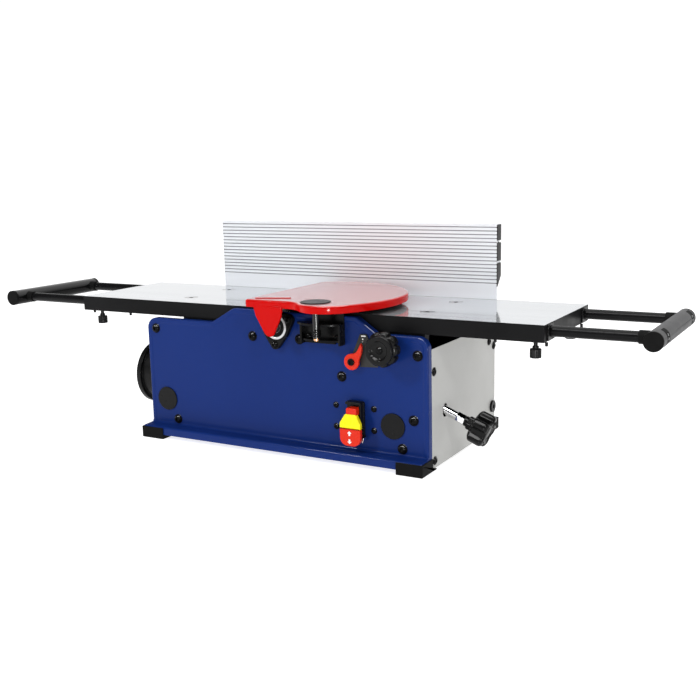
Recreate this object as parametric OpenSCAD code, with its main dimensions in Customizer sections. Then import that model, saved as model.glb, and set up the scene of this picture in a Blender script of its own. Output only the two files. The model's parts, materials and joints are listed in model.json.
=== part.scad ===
// Benchtop jointer. Millimetres, +Z up, Z = 0 on the bench.
// Drawing frame: X along the tables (+X is the infeed end), Y from the operator's side to the
// back with Y = 0 on the tables' front edge. The placing step centres the whole thing on X and Y.

/* [Tables] */
// height of the table tops above the bench
table_h = 231; // [225:1:237]
// length of both tables together
table_len = 851; // [840:1:860]
// width of the tables
table_w = 212; // [205:1:215]
// depth of the table skirts
skirt = 25; // [22:1:28]
// thickness of the table top plate
top_t = 8; // [7:1:9]
// spread of the flush top screws along the tables
top_screw_x = 225; // [215:1:235]

/* [Base] */
// left side of the base
base_x0 = -269; // [-270:1:-265]
// right side of the base
base_x1 = 257; // [255:1:260]
// front face of the front casting
cast_y = -12; // [-13:1:-12]
// depth of the casting rims
rim = 11; // [10:1:11]
// thickness of the casting walls
wall = 5; // [4:1:6]
// height of the casting shoulders
shoulder_h = 203.5; // [202:0.5:204]
// height of the raised middle of the castings
crown_h = 228; // [226:1:229]
// how far the ledges stand out
ledge = 26; // [24:1:28]
// top of the ledges
ledge_h = 21; // [19:1:22]
// back of the end panels
panel_y1 = 252.5; // [252:0.1:253]
// top edge of the end panels
panel_h = 184.7; // [180:0.1:188]

/* [Cutterhead] */
// cutterhead axis along the tables
head_x = -3; // [-4:1:-2]
// cutterhead axis height
head_z = 204.5; // [204:0.1:205]
// body radius of the cutterhead
head_r = 25; // [24.5:0.1:25]
// journal radius of the cutterhead shaft
shaft_r = 8.5; // [8:0.1:9]
// outer radius of the bearings
brg_r = 20; // [19:1:20]
// half the gap between the table lips
lip_gap = 16; // [15:1:17]

/* [Depth of cut] */
// slope of the ways in degrees
way_a = 22; // [20:1:24]
// distance the infeed table travels down the ways
way_travel = 8.5; // [4:0.1:9]
// height of the way plane above x = 60
way_h = 180; // [178:1:182]
// axis of the depth screw across the tables
screw_y = 47.5; // [45:0.5:50]
// height of the depth screw at the end panel
screw_z = 83; // [80:1:86]

/* [Guard] */
// guard pivot along the tables
piv_x = 86; // [84:1:88]
// guard pivot in front of the tables
piv_y = -41; // [-43:1:-39]
// gap under the guard
guard_gap = 8; // [6:1:10]
// thickness of the guard
guard_t = 12; // [10:1:13]

/* [Fence] */
// left end of the fence
fence_x0 = -266; // [-270:1:-260]
// right end of the fence
fence_x1 = 276; // [270:1:280]
// front face of the fence
fence_y = 208.3; // [208:0.1:209]
// top of the fence
fence_top = 352.3; // [348:0.1:356]
// pitch of the fence grooves
groove = 6; // [5.5:0.1:6.2]
// travel of the fence slide
fence_travel = 80; // [40:1:85]

/* [Extension bars] */
// radius of the bar tubes
tube_r = 7.8; // [7:0.1:8]
// height of the bar tubes
tube_z = 219.5; // [218:0.5:220]
// front tube across the tables
tube_y0 = 24; // [22:1:26]
// rear tube across the tables
tube_y1 = 188; // [185:1:192]
// right support bar axis
roll_x1 = 572.5; // [560:0.5:590]
// left support bar axis
roll_x0 = -599; // [-610:1:-590]
// support bar radius
roll_r = 13.5; // [12:0.5:14]

/* [Hidden] */
$fn = 48;
eps = 0.02;
th2 = table_len / 2;
rear_y = panel_y1;
rear_ledge = 13.5;
pan_z = 7;
guard_z = table_h + guard_gap;
fence_z = table_h + 0.4;
plate_z = table_h + 5.6;
plate_y1 = 276 + fence_travel;
lock_y = 262;
hinge_y = 219.5;
hinge_z = table_h + 10;
dirx = cos(way_a);
dirz = -sin(way_a);
motor_x = 95;
motor_z = 72;
belt_y = 227;
port_y = 80;
port_z = 87;
port_x = -335;
front_y = piv_y - 36;
cx = (roll_x0 + roll_x1) / 2;
cy = (front_y + plate_y1) / 2;

// placing and drawing helpers
module placed() {
  translate([-cx, -cy, 0]) children();
}

module ycyl(x, z, r, y0, y1) {
  translate([x, y0, z]) rotate([-90, 0, 0]) cylinder(r = r, h = y1 - y0);
}

module xcyl(y, z, r, x0, x1) {
  translate([x0, y, z]) rotate([0, 90, 0]) cylinder(r = r, h = x1 - x0);
}

module zcyl(x, y, r, z0, z1) {
  translate([x, y, z0]) cylinder(r = r, h = z1 - z0);
}

module box(x0, x1, y0, y1, z0, z1) {
  translate([x0, y0, z0]) cube([x1 - x0, y1 - y0, z1 - z0]);
}

// a drawing in X and Z given depth from y0 to y1
module xz(y0, y1) {
  translate([0, y1, 0]) rotate([90, 0, 0]) linear_extrude(y1 - y0) children();
}

// a drawing in Y and Z given length from x0 to x1
module yz(x0, x1) {
  translate([x0, 0, 0]) rotate([90, 0, 90]) linear_extrude(x1 - x0) children();
}

// frame with its X axis down the ways and its origin on the screw axis at the end panel
module on_screw() {
  translate([base_x1, screw_y, screw_z]) rotate([0, way_a, 0]) children();
}

function way_z(x) = way_h - (x - 60) * tan(way_a);

// outline of the castings, drawn in by an amount all round
module cast_outline(i) {
  r = 18 - i;
  difference() {
    union() {
      translate([base_x0 + i, pan_z + i])
        square([base_x1 - base_x0 - 2 * i, shoulder_h - pan_z - 2 * i]);
      polygon([[-134 + i, 150], [-134 + i, shoulder_h - i], [-128 + i, shoulder_h - i + 0.6],
        [-93 + i, crown_h - 1.2 - i], [-86 + i, crown_h - i], [134 - i, crown_h - i],
        [141 - i, crown_h - 1.2 - i], [170 - i, shoulder_h - i + 1.2], [176 - i, shoulder_h - i],
        [176 - i, 150]]);
    }
    difference() {
      translate([base_x0 + i - 1, shoulder_h - i - r]) square([r + 1, r + 1]);
      translate([base_x0 + i + r, shoulder_h - i - r]) circle(r = r);
    }
    difference() {
      translate([base_x1 - i - r, shoulder_h - i - r]) square([r + 1, r + 1]);
      translate([base_x1 - i - r, shoulder_h - i - r]) circle(r = r);
    }
  }
}

screw_xz = [[-250.6, 185.8], [-51.6, 185.6], [36.9, 186.5], [111.4, 134.1], [240, 175.9],
  [232.5, 77.7], [213.6, 31.9], [-213.2, 31.2]];
flange_a = [27, 147, 267];
bracket_xz = [[58, 194], [110, 194]];
plug_xz = [[-233.4, 65.2], [198, 65.3]];
switch_xz = [[100, 88.3], [166, 88.3], [100, 54.5], [166, 54.5]];

module front_casting() {
  color([0.07, 0.13, 0.40]) placed() difference() {
    union() {
      xz(cast_y, cast_y + wall) cast_outline(0);
      difference() {
        xz(cast_y, cast_y + rim) cast_outline(0);
        xz(cast_y - 1, cast_y + rim + 1) cast_outline(6);
      }
      box(base_x0, base_x1, cast_y - ledge, cast_y + 1, pan_z, ledge_h);
      ycyl(head_x, head_z, 23, cast_y, cast_y + rim);
    }
    ycyl(head_x, head_z, brg_r + 0.05, cast_y - 1, cast_y + rim + 1);
    for (p = screw_xz) ycyl(p[0], p[1], 3.1, cast_y - 1, cast_y + rim + 1);
    for (a = flange_a)
      ycyl(head_x + 28 * cos(a), head_z + 28 * sin(a), 2.6, cast_y - 1, cast_y + rim + 1);
    for (p = bracket_xz) ycyl(p[0], p[1], 3.1, cast_y - 1, cast_y + rim + 1);
    for (p = plug_xz) ycyl(p[0], p[1], 17, cast_y - 1, cast_y + rim + 1);
    for (p = switch_xz) ycyl(p[0], p[1], 2.1, cast_y - 1, cast_y + rim + 1);
    box(base_x0 + 4, base_x1 - 4, cast_y - ledge + 4, cast_y, pan_z - 1, ledge_h - 4);
    box(123, 150, cast_y - 1, cast_y + rim, 41, 95);
    travel_slot(132.9, 159.5, 4.2, cast_y - 1, cast_y + rim + 1);
    travel_slot(194.6, 186.4, 5.2, cast_y - 1, cast_y + rim + 1);
  }
}

// slot that lets a pin of the infeed slide travel down the ways
module travel_slot(x, z, r, y0, y1) {
  ycyl(x, z, r, y0, y1);
  ycyl(x + dirx * way_travel, z + dirz * way_travel, r, y0, y1);
  translate([x, y0, z]) rotate([0, way_a, 0]) translate([0, 0, 0.06 - r])
    cube([way_travel, y1 - y0, 2 * r - 0.12]);
}

rear_xz = [[-250.6, 185.8], [-120, 120], [150, 120], [240, 175.9], [213.6, 31.9], [-213.2, 31.2]];

module rear_casting() {
  color([0.07, 0.13, 0.40]) placed() difference() {
    union() {
      intersection() {
        union() {
          xz(rear_y - wall, rear_y) cast_outline(0);
          difference() {
            xz(rear_y - rim, rear_y) cast_outline(0);
            xz(rear_y - rim - 1, rear_y + 1) cast_outline(6);
          }
        }
        box(base_x0 + 1.6, base_x1 - 1.6, rear_y - rim - 1, rear_y + 1, 0, 300);
      }
      box(base_x0 + 1.6, base_x1 - 1.6, rear_y - 1, rear_y + rear_ledge, pan_z, ledge_h);
    }
    box(base_x0 + 6, base_x1 - 6, rear_y, rear_y + rear_ledge - 4, pan_z - 1, ledge_h - 4);
    xcyl(gland_yz[0], gland_yz[1], 6.5, base_x1 - 17, base_x1 + 1);
    for (x = [base_x0 - 1, base_x1 - 14]) xcyl(245.9, 148, 2.1, x, x + 15);
    for (p = rear_xz) ycyl(p[0], p[1], 3.1, rear_y - rim - 1, rear_y + 1);
    for (x = [60:14:130]) box(x, x + 6, rear_y - rim, rear_y + 1, 50, 94);
  }
}

module bottom_pan() {
  color([0.2, 0.2, 0.21]) placed() difference() {
    box(base_x0 + 2, base_x1 - 2, cast_y + rim + 0.3, rear_y - rim - 0.3, pan_z, pan_z + 1.5);
    for (x = [45:16:141]) box(x, x + 8, 100, 170, pan_z - 1, pan_z + 4);
  }
}

panel_yz = [[6.7, 150.3], [8.6, 14], [245.9, 148], [224.9, 158.4]];
gland_yz = [239.7, 44.4];

module end_panel(x0, x1, xin) {
  box(x0, x1, cast_y + rim + 0.3, panel_y1, 2, panel_h);
  box(min(x0, xin), max(x1, xin), cast_y + rim + 0.3, cast_y + rim + 1.8, 14, panel_h);
  box(min(x0, xin), max(x1, xin), rear_y - rim - 1.8, rear_y - rim - 0.3, 14, panel_h);
}

module end_panel_right() {
  color([0.74, 0.74, 0.71]) placed() difference() {
    end_panel(base_x1 - 1.5, base_x1, base_x1 - 13);
    for (p = panel_yz) xcyl(p[0], p[1], 2.1, base_x1 - 3, base_x1 + 1);
    xcyl(screw_y, screw_z + 2, 8.5, base_x1 - 3, base_x1 + 1);
    xcyl(screw_y, screw_z - 2, 8.5, base_x1 - 3, base_x1 + 1);
    box(base_x1 - 3, base_x1 + 1, screw_y - 8.5, screw_y + 8.5, screw_z - 2, screw_z + 2);
    xcyl(gland_yz[0], gland_yz[1], 6.1, base_x1 - 15, base_x1 + 1);
  }
}

module end_panel_left() {
  color([0.74, 0.74, 0.71]) placed() difference() {
    end_panel(base_x0, base_x0 + 1.5, base_x0 + 13);
    for (p = panel_yz) xcyl(p[0], p[1], 2.1, base_x0 - 1, base_x0 + 3);
    xcyl(port_y, port_z, 51.5, base_x0 - 1, base_x0 + 3);
  }
}

// a foot wraps round the end of a ledge; sx and sy give its corner
module foot(x0, x1, y0, y1, lx0, lx1, ly0, ly1) {
  difference() {
    box(x0, x1, y0, y1, 0, 19.5);
    box(lx0, lx1, ly0, ly1, pan_z, 30);
  }
}

module rubber_feet() {
  fy = cast_y - ledge;
  ry = rear_y + rear_ledge;
  color([0.05, 0.05, 0.055]) placed() difference() {
    union() {
      foot(base_x0 - 2, -226, fy - 2, 12, base_x0, -200, fy, 20);
      foot(215, base_x1 + 2, fy - 2, 12, 200, base_x1, fy, 20);
      foot(base_x0 - 2, -226, 241, ry + 2, base_x0 + 1.6, -200, 230, ry);
      foot(215, base_x1 + 2, 241, ry + 2, 200, base_x1 - 1.6, 230, ry);
    }
    box(base_x0 - 3, base_x0 + 1.8, -1, 13, 1.7, 30);
    box(base_x1 - 1.8, base_x1 + 3, -1, 13, 1.7, 30);
    box(base_x0, base_x0 + 1.8, 240, panel_y1 + 0.2, 1.7, 30);
    box(base_x1 - 1.8, base_x1, 240, panel_y1 + 0.2, 1.7, 30);
  }
}

// button head screw on a face that looks towards -Y
module front_screw(x, z, y, r, t, rs, ln) {
  difference() {
    ycyl(x, z, r, y - t, y);
    ycyl(x, z, r * 0.42, y - t - 1, y - t + 1.6, $fn = 6);
  }
  ycyl(x, z, rs, y - 0.5, y + ln);
}

module casting_screws() {
  color([0.04, 0.04, 0.045]) placed() {
    for (p = screw_xz) front_screw(p[0], p[1], cast_y, 6.5, 5, 3, 10.5);
    for (a = flange_a)
      front_screw(head_x + 28 * cos(a), head_z + 28 * sin(a), cast_y - 8, 5, 4, 2.5, 18);
    for (p = bracket_xz) front_screw(p[0], p[1], cast_y - 6, 5.5, 4, 3, 16);
    for (p = rear_xz) {
      ycyl(p[0], p[1], 6.5, rear_y, rear_y + 5);
      ycyl(p[0], p[1], 3, rear_y - 10.5, rear_y + 1);
    }
  }
}

module panel_screws() {
  color([0.04, 0.04, 0.045]) placed() {
    for (p = panel_yz) {
      xcyl(p[0], p[1], 5.4, base_x1, base_x1 + 2.8);
      xcyl(p[0], p[1], 2, base_x1 - 8, base_x1 + 1);
      xcyl(p[0], p[1], 5.4, base_x0 - 2.8, base_x0);
      xcyl(p[0], p[1], 2, base_x0 - 1, base_x0 + 8);
    }
  }
}

module hole_plugs() {
  color([0.06, 0.06, 0.065]) placed() {
    for (p = plug_xz) {
      ycyl(p[0], p[1], 20, cast_y - 2, cast_y);
      ycyl(p[0], p[1], 16.9, cast_y - 0.5, cast_y + 8);
    }
  }
}

module bearing_flange() {
  color([0.05, 0.05, 0.055]) placed() difference() {
    union() {
      ycyl(head_x, head_z, 24.5, cast_y - 8, cast_y);
      for (a = flange_a) {
        ycyl(head_x + 28 * cos(a), head_z + 28 * sin(a), 8, cast_y - 8, cast_y);
      }
    }
    ycyl(head_x, head_z, brg_r + eps, cast_y - 9, cast_y + 1);
    for (a = flange_a)
      ycyl(head_x + 28 * cos(a), head_z + 28 * sin(a), 2.6, cast_y - 9, cast_y + 1);
  }
}

module head_bearings() {
  color([0.7, 0.7, 0.72]) placed() {
    for (y = [cast_y - 7, 214]) difference() {
      ycyl(head_x, head_z, brg_r, y, y + 12);
      ycyl(head_x, head_z, shaft_r + 0.05, y - 1, y + 13);
      ycyl(head_x, head_z, 16, y - 1, y + 0.8);
      ycyl(head_x, head_z, 16, y + 11.2, y + 13);
    }
  }
}

module cheek_outline() {
  polygon([[-210, 206], [-45, 206], [-45, 165], [20, 165], [20, way_z(20)], [244, way_z(244)],
    [244, 9.5], [-100, 9.5], [-100, 170], [-210, 190]]);
}

module way_frame() {
  color([0.16, 0.16, 0.17]) placed() difference() {
    union() {
      xz(12, 20) cheek_outline();
      xz(213.7, 226) {
        cheek_outline();
        translate([-46, 160]) square([96, 46]);
        translate([head_x, head_z]) circle(r = 24.5);
      }
      box(-210, -45, 12, 226, 198, 206);
      box(-100, 244, 12, 226, 9.5, 14.5);
      xz(12, 33.5) way_rail();
      xz(177, 214) way_rail();
      on_screw() translate([-50, 19 - screw_y, -13]) cube([25, 42.5, 26]);
    }
    ycyl(head_x, head_z, 30, 5, 213);
    ycyl(head_x, head_z, brg_r + eps, 213, 227);
    ycyl(motor_x, motor_z, 10, 213, 227);
    on_screw() translate([-51, 0, 0]) rotate([0, 90, 0]) cylinder(r = 6.06, h = 27);
    box(123, 150, 10, 22, 41, 95);
    for (x = [-80:60:0]) ycyl(x, 60, 22, 11, 21);
    ycyl(200, 60, 20, 11, 21);
  }
}

module way_rail() {
  polygon([[20, way_z(20)], [244, way_z(244)], [244, way_z(244) - 14], [20, way_z(20) - 14]]);
}

// a table casting from x0 to x1; xe is its free end and s its direction
module table(x0, x1, xe, s) {
  difference() {
    box(x0, x1, 0, table_w, table_h - skirt, table_h);
    difference() {
      box(x0 + 6, x1 - 6, 6, table_w - 6, table_h - skirt - 1, table_h - top_t);
      for (k = [0:4]) {
        x = xe - s * (26 + 82 * k);
        box(x - 3, x + 3, 0, table_w, table_h - skirt, table_h);
      }
      box(x0, x1, 103, 109, table_h - skirt, table_h);
      for (y = [54, 163]) zcyl(s * top_screw_x, y, 15, table_h - skirt, table_h);
    }
    ycyl(head_x, head_z, 28.5, -1, table_w + 1);
    for (y = [tube_y0, tube_y1]) {
      xcyl(y, tube_z, 8.3, min(xe + s, xe - s * 290), max(xe + s, xe - s * 290));
      box(min(xe - s * 6, xe - s * 31), max(xe - s * 6, xe - s * 31), y - 14.2, y + 14.2,
        table_h - skirt - 1, table_h - top_t);
    }
    for (y = [54, 163]) {
      zcyl(s * top_screw_x, y, 11.1, table_h - 6, table_h + 1);
      zcyl(s * top_screw_x, y, 4.1, table_h - skirt - 1, table_h + 1);
    }
  }
}

module outfeed_table() {
  color([0.78, 0.79, 0.80]) placed() table(-th2, head_x - lip_gap, -th2, -1);
}

module infeed_table() {
  color([0.78, 0.79, 0.80]) placed() table(head_x + lip_gap, th2, th2, 1);
}

module top_screws(s) {
  for (y = [54, 163]) difference() {
    union() {
      zcyl(s * top_screw_x, y, 11, table_h - 6, table_h - 0.2);
      zcyl(s * top_screw_x, y, 4, table_h - skirt, table_h - 5);
    }
    zcyl(s * top_screw_x, y, 4, table_h - 4, table_h + 1, $fn = 6);
  }
}

module outfeed_top_screws() {
  color([0.05, 0.05, 0.055]) placed() top_screws(-1);
}

module infeed_top_screws() {
  color([0.05, 0.05, 0.055]) placed() top_screws(1);
}

// clamps that hold the bar tubes behind the end skirt, with their end flanges
module tube_clamps(s) {
  for (y = [tube_y0, tube_y1]) difference() {
    union() {
      box(min(s * (th2 - 6.1), s * (th2 - 30)), max(s * (th2 - 6.1), s * (th2 - 30)),
        y - 14, y + 14, table_h - skirt, table_h - top_t);
      box(min(s * (th2 + 0.05), s * (th2 + 2.2)), max(s * (th2 + 0.05), s * (th2 + 2.2)),
        y - 12, y + 12, table_h - skirt + 1, table_h - 1);
      for (z = [-1, 1]) xcyl(y + z * 9, tube_z - z * 8.5, 2.5, s > 0 ? th2 + 1 : -th2 - 4,
        s > 0 ? th2 + 4 : -th2 - 1);
    }
    xcyl(y, tube_z, tube_r + 0.06, -th2 - 5, th2 + 5);
    zcyl(s * (th2 - 20), y, 3.06, table_h - skirt - 1, tube_z);
  }
}

module outfeed_tube_clamps() {
  color([0.06, 0.06, 0.065]) placed() tube_clamps(-1);
}

module infeed_tube_clamps() {
  color([0.06, 0.06, 0.065]) placed() tube_clamps(1);
}

module guard_bracket() {
  color([0.05, 0.05, 0.055]) placed() difference() {
    union() {
      box(48, 119, cast_y - 6, cast_y, 184, 217);
      box(52, 113, piv_y - 2, cast_y - 2, 212, 217);
      box(58, 112, piv_y - 2, cast_y - 2, 184, 190);
      zcyl(piv_x, piv_y, 13, 210, 217);
      zcyl(piv_x, piv_y, 13, 184, 190);
      box(58, 64, piv_y + 8, cast_y - 2, 184, 217);
      box(106, 112, piv_y + 8, cast_y - 2, 184, 217);
    }
    zcyl(piv_x, piv_y, 5.56, 183, 218);
    for (p = bracket_xz) ycyl(p[0], p[1], 3.05, cast_y - 7, cast_y + 1);
    for (p = bracket_xz) ycyl(p[0], p[1], 6.4, piv_y - 20, cast_y - 6);
  }
}

module guard_spring() {
  color([0.5, 0.5, 0.52]) placed() translate([piv_x, piv_y, 0]) rotate_extrude() {
    for (z = [192.5:2:208]) translate([9, z]) circle(r = 1.1, $fn = 16);
  }
}

module scale_plate() {
  color([0.11, 0.11, 0.115]) placed() xz(cast_y - 1.5, cast_y) difference() {
    polygon([[132.4, 172.3], [145, 200], [153.6, 201], [163, 190], [178, 154], [148, 152],
      [142, 163]]);
    hull_slot(132.9, 159.5, 4.6);
    circle(r = 1);
  }
}

module hull_slot(x, z, r) {
  translate([x, z]) circle(r = r);
  translate([x + dirx * way_travel, z + dirz * way_travel]) circle(r = r);
  translate([x, z]) rotate(-way_a) translate([0, -r]) square([way_travel, 2 * r]);
}

module switch_frame() {
  color([0.03, 0.03, 0.035]) placed() difference() {
    union() {
      box(120.5, 152, cast_y - 5, cast_y, 37, 99);
      box(123.5, 149.5, cast_y - 1, 11, 41.5, 94.5);
      box(124, 149, cast_y - 13, cast_y - 4, 84, 98);
      box(149, 152, cast_y - 13, cast_y - 4, 50, 98);
    }
    box(128, 145, cast_y - 14, cast_y + 2, 45, 78);
    box(129.5, 147.5, cast_y - 14, cast_y - 5, 83, 95);
    xcyl(cast_y - 9, 88, 1.66, 126.5, 150);
  }
}

module switch_screws() {
  color([0.05, 0.05, 0.055]) placed() {
    for (p = switch_xz) front_screw(p[0], p[1], cast_y, 4, 3, 2, 9);
  }
}

module motor_body() {
  color([0.12, 0.12, 0.13]) placed() difference() {
    union() {
      ycyl(motor_x, motor_z, 48, 66, 198);
      box(62, 128, 90, 176, 14.5, 40);
      ycyl(motor_x, motor_z, 14, 198, 206);
    }
    ycyl(motor_x, motor_z, 30, 74, 190);
    ycyl(motor_x, motor_z, 7.06, 60, 210);
  }
}

module belt_outline(r1, r2) {
  hull() {
    translate([head_x, head_z]) circle(r = r1);
    translate([motor_x, motor_z]) circle(r = r2);
  }
}

module drive_belt() {
  color([0.04, 0.04, 0.04]) placed() xz(belt_y + 2, belt_y + 12) difference() {
    belt_outline(19.6, 29.6);
    belt_outline(17.3, 27.3);
  }
}

module pulley(x, z, r, rb) {
  difference() {
    union() {
      ycyl(x, z, r - 3, belt_y, belt_y + 13);
      ycyl(x, z, r + 1, belt_y - 0.5, belt_y + 1.5);
      ycyl(x, z, r + 1, belt_y + 12.5, belt_y + 13.5);
    }
    ycyl(x, z, rb, belt_y - 1, belt_y + 16);
  }
}

module head_pulley() {
  color([0.6, 0.6, 0.62]) placed() pulley(head_x, head_z, 20, shaft_r);
}

module motor_rotor() {
  color([0.6, 0.6, 0.62]) placed() {
    ycyl(motor_x, motor_z, 7, 60, belt_y + 16);
    ycyl(motor_x, motor_z, 29.4, 82, 182);
    pulley(motor_x, motor_z, 30, 6.9);
  }
}

module chute_outline(i) {
  polygon([[-50 + i, 172 + i], [32 - i, 172 + i], [32 - i, 140 + i * 0.4], [-91 - i * 0.3, 32 + i],
    [-200 + i, 32 + i], [-200 + i, 142 - i]]);
}

module dust_chute() {
  color([0.05, 0.05, 0.055]) placed() difference() {
    xz(24, 200) chute_outline(0);
    xz(27, 197) chute_outline(3);
    xcyl(port_y, port_z, 47.5, -201, -190);
  }
}

module dust_outlet() {
  color([0.05, 0.05, 0.055]) placed() difference() {
    union() {
      xcyl(port_y, port_z, 50, port_x, -200);
      xcyl(port_y, port_z, 55.5, port_x, port_x + 9);
    }
    xcyl(port_y, port_z, 47.5, port_x - 1, -190);
  }
}

module cord_gland() {
  color([0.04, 0.04, 0.045]) placed() difference() {
    union() {
      xcyl(gland_yz[0], gland_yz[1], 6, base_x1 - 8, base_x1 + 1);
      xcyl(gland_yz[0], gland_yz[1], 10, base_x1, base_x1 + 3.5);
    }
    xcyl(gland_yz[0], gland_yz[1], 3.5, base_x1 - 9, base_x1 + 5);
  }
}

module fence_pedestal() {
  color([0.07, 0.07, 0.075]) placed() difference() {
    union() {
      box(-40, 40, 229, 275, crown_h, plate_z - 0.3);
      box(-40, 40, rear_y, 275, 188, plate_z - 0.3);
    }
    zcyl(0, lock_y, 5.06, crown_h - 1, plate_z + 1);
    for (x = [-28, 28]) ycyl(x, 205, 3.1, rear_y - 1, 276);
  }
}

module cutterhead() {
  color([0.45, 0.45, 0.47]) placed() difference() {
    union() {
      ycyl(head_x, head_z, head_r, 3, 209);
      ycyl(head_x, head_z, 11, -2, 212.5);
      ycyl(head_x, head_z, shaft_r, cast_y - 8, belt_y + 16);
    }
    insert_places() cube([12.3, 14.3, 5.3], center = true);
  }
}

// four helical rows of inserts round the cutterhead
module insert_places() {
  translate([head_x, 0, head_z])
    for (k = [0:3]) {
      for (j = [0:11]) rotate([0, 90 * k + 7.5 * j, 0])
        translate([2, 14 + j * 16.7, head_r - 2.15]) children();
    }
}

module cutter_inserts() {
  color([0.72, 0.72, 0.74]) placed() insert_places() cube([12, 14, 5], center = true);
}

module infeed_slide() {
  g = 0.35 / cos(way_a);
  color([0.18, 0.18, 0.19]) placed() difference() {
    union() {
      for (y = [22, 176]) xz(y, y + 14)
        polygon([[34, table_h - skirt], [236, table_h - skirt], [236, way_z(236) + g],
          [34, way_z(34) + g]]);
      box(60, 236, 22, 190, table_h - skirt - 8, table_h - skirt);
      on_screw() translate([-156, 34.5 - screw_y, -12]) cube([25, 27, 44]);
    }
    on_screw() translate([-158, 0, 0]) rotate([0, 90, 0]) cylinder(r = 6.06, h = 30);
    ycyl(194.6, 186.4, 4.06, 21, 37);
  }
}

module depth_pointer() {
  color([0.85, 0.05, 0.03]) placed() {
    xz(cast_y - 9, cast_y - 5) {
      translate([132.9, 159.5]) circle(r = 13);
      polygon([[133, 172], [139, 171], [149, 188], [151.5, 189.5], [153, 182], [151, 170],
        [145.5, 156]]);
    }
    ycyl(132.9, 159.5, 4.5, cast_y - 12, cast_y - 8);
    ycyl(132.9, 159.5, 3, cast_y - 6, 22);
  }
}

module depth_screw() {
  color([0.75, 0.75, 0.77]) placed() on_screw() rotate([0, 90, 0]) {
    translate([0, 0, -165]) cylinder(r = 6, h = 146);
    translate([0, 0, -20]) cylinder(r = 7, h = 42);
    translate([0, 0, 20]) cylinder(r = 5.5, h = 44);
    translate([0, 0, -24.5]) cylinder(r = 9, h = 5);
    translate([0, 0, -55.5]) cylinder(r = 9, h = 5);
    translate([0, 0, 21]) cylinder(r = 8.4, h = 14, $fn = 6);
  }
}

module star_knob() {
  color([0.04, 0.04, 0.045]) placed() on_screw() rotate([0, 90, 0]) difference() {
    union() {
      translate([0, 0, 35]) cylinder(r = 8, h = 6);
      translate([0, 0, 40]) cylinder(r = 10.5, h = 9);
      translate([0, 0, 48]) cylinder(r = 16, h = 29);
      for (a = [0:72:288]) rotate(a) translate([18.3, 0, 52]) cylinder(r = 8.7, h = 23);
    }
    translate([0, 0, 34]) cylinder(r = 5.5, h = 30);
    translate([0, 0, 74]) cylinder(r = 9, h = 4);
  }
}

module table_lock_knob() {
  color([0.05, 0.05, 0.055]) placed() {
    difference() {
      ycyl(194.6, 186.4, 24.5, cast_y - 38, cast_y - 14);
      for (a = [0:40:320]) ycyl(194.6 + 28 * cos(a), 186.4 + 28 * sin(a), 6, cast_y - 33, cast_y - 13);
      ycyl(194.6, 186.4, 13, cast_y - 39, cast_y - 31);
    }
    ycyl(194.6, 186.4, 9, cast_y - 34, cast_y - 30);
    ycyl(194.6, 186.4, 15, cast_y - 15, cast_y - 3);
    ycyl(194.6, 186.4, 4, cast_y - 4, 35);
  }
}

// the two bar tubes of one end, drawn for the end that s points to
module bar_tubes(s, xr) {
  for (y = [tube_y0, tube_y1]) difference() {
    xcyl(y, tube_z, tube_r, min(xr, xr - s * 290), max(xr, xr - s * 290));
    xcyl(y, tube_z, tube_r - 1.5, min(xr - s * 30, xr - s * 291), max(xr - s * 30, xr - s * 291));
    ycyl(xr, tube_z, roll_r - 0.1, y - 12, y + 12);
  }
}

// collars on the tubes and end caps of the support bar
module bar_fittings(s, xr) {
  difference() {
    union() {
      for (y = [tube_y0, tube_y1])
        xcyl(y, tube_z, 9.5, min(xr, xr - s * 25), max(xr, xr - s * 25));
      for (y = [-8, 203]) ycyl(xr, tube_z, roll_r, y, y + 5);
    }
    for (y = [tube_y0, tube_y1]) xcyl(y, tube_z, tube_r, xr - 40, xr + 40);
    ycyl(xr, tube_z, roll_r - 0.1, -3, 203);
  }
}

module support_bar(s, xr) {
  difference() {
    ycyl(xr, tube_z, roll_r - 0.1, -3, 203);
    ycyl(xr, tube_z, roll_r - 2, -4, 204);
    for (y = [tube_y0, tube_y1]) xcyl(y, tube_z, 5, min(xr, xr + s * 20), max(xr, xr + s * 20));
  }
}

module infeed_tubes() {
  color([0.04, 0.04, 0.045]) placed() bar_tubes(1, roll_x1);
}

module infeed_bar_fittings() {
  color([0.03, 0.03, 0.035]) placed() bar_fittings(1, roll_x1);
}

module infeed_bar() {
  color([0.24, 0.24, 0.25]) placed() support_bar(1, roll_x1);
}

module outfeed_tubes() {
  color([0.04, 0.04, 0.045]) placed() bar_tubes(-1, roll_x0);
}

module outfeed_bar_fittings() {
  color([0.03, 0.03, 0.035]) placed() bar_fittings(-1, roll_x0);
}

module outfeed_bar() {
  color([0.06, 0.06, 0.065]) placed() support_bar(-1, roll_x0);
}

module thumb_knob(x, y) {
  color([0.04, 0.04, 0.045]) placed() {
    difference() {
      zcyl(x, y, 8.2, 180, 193);
      for (a = [0:30:330]) zcyl(x + 9 * cos(a), y + 9 * sin(a), 1.5, 179, 194, $fn = 16);
    }
    zcyl(x, y, 4.5, 192, 197);
    zcyl(x, y, 3, 196, tube_z - tube_r - 0.4);
  }
}

module infeed_knob_front() thumb_knob(th2 - 20, tube_y0);

module infeed_knob_rear() thumb_knob(th2 - 20, tube_y1);

module outfeed_knob_front() thumb_knob(-th2 + 20, tube_y0);

module outfeed_knob_rear() thumb_knob(-th2 + 20, tube_y1);

function curve(a, b, c) = [for (t = [0:0.2:0.8])
  (1 - t) * (1 - t) * a + 2 * t * (1 - t) * b + t * t * c];

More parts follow.
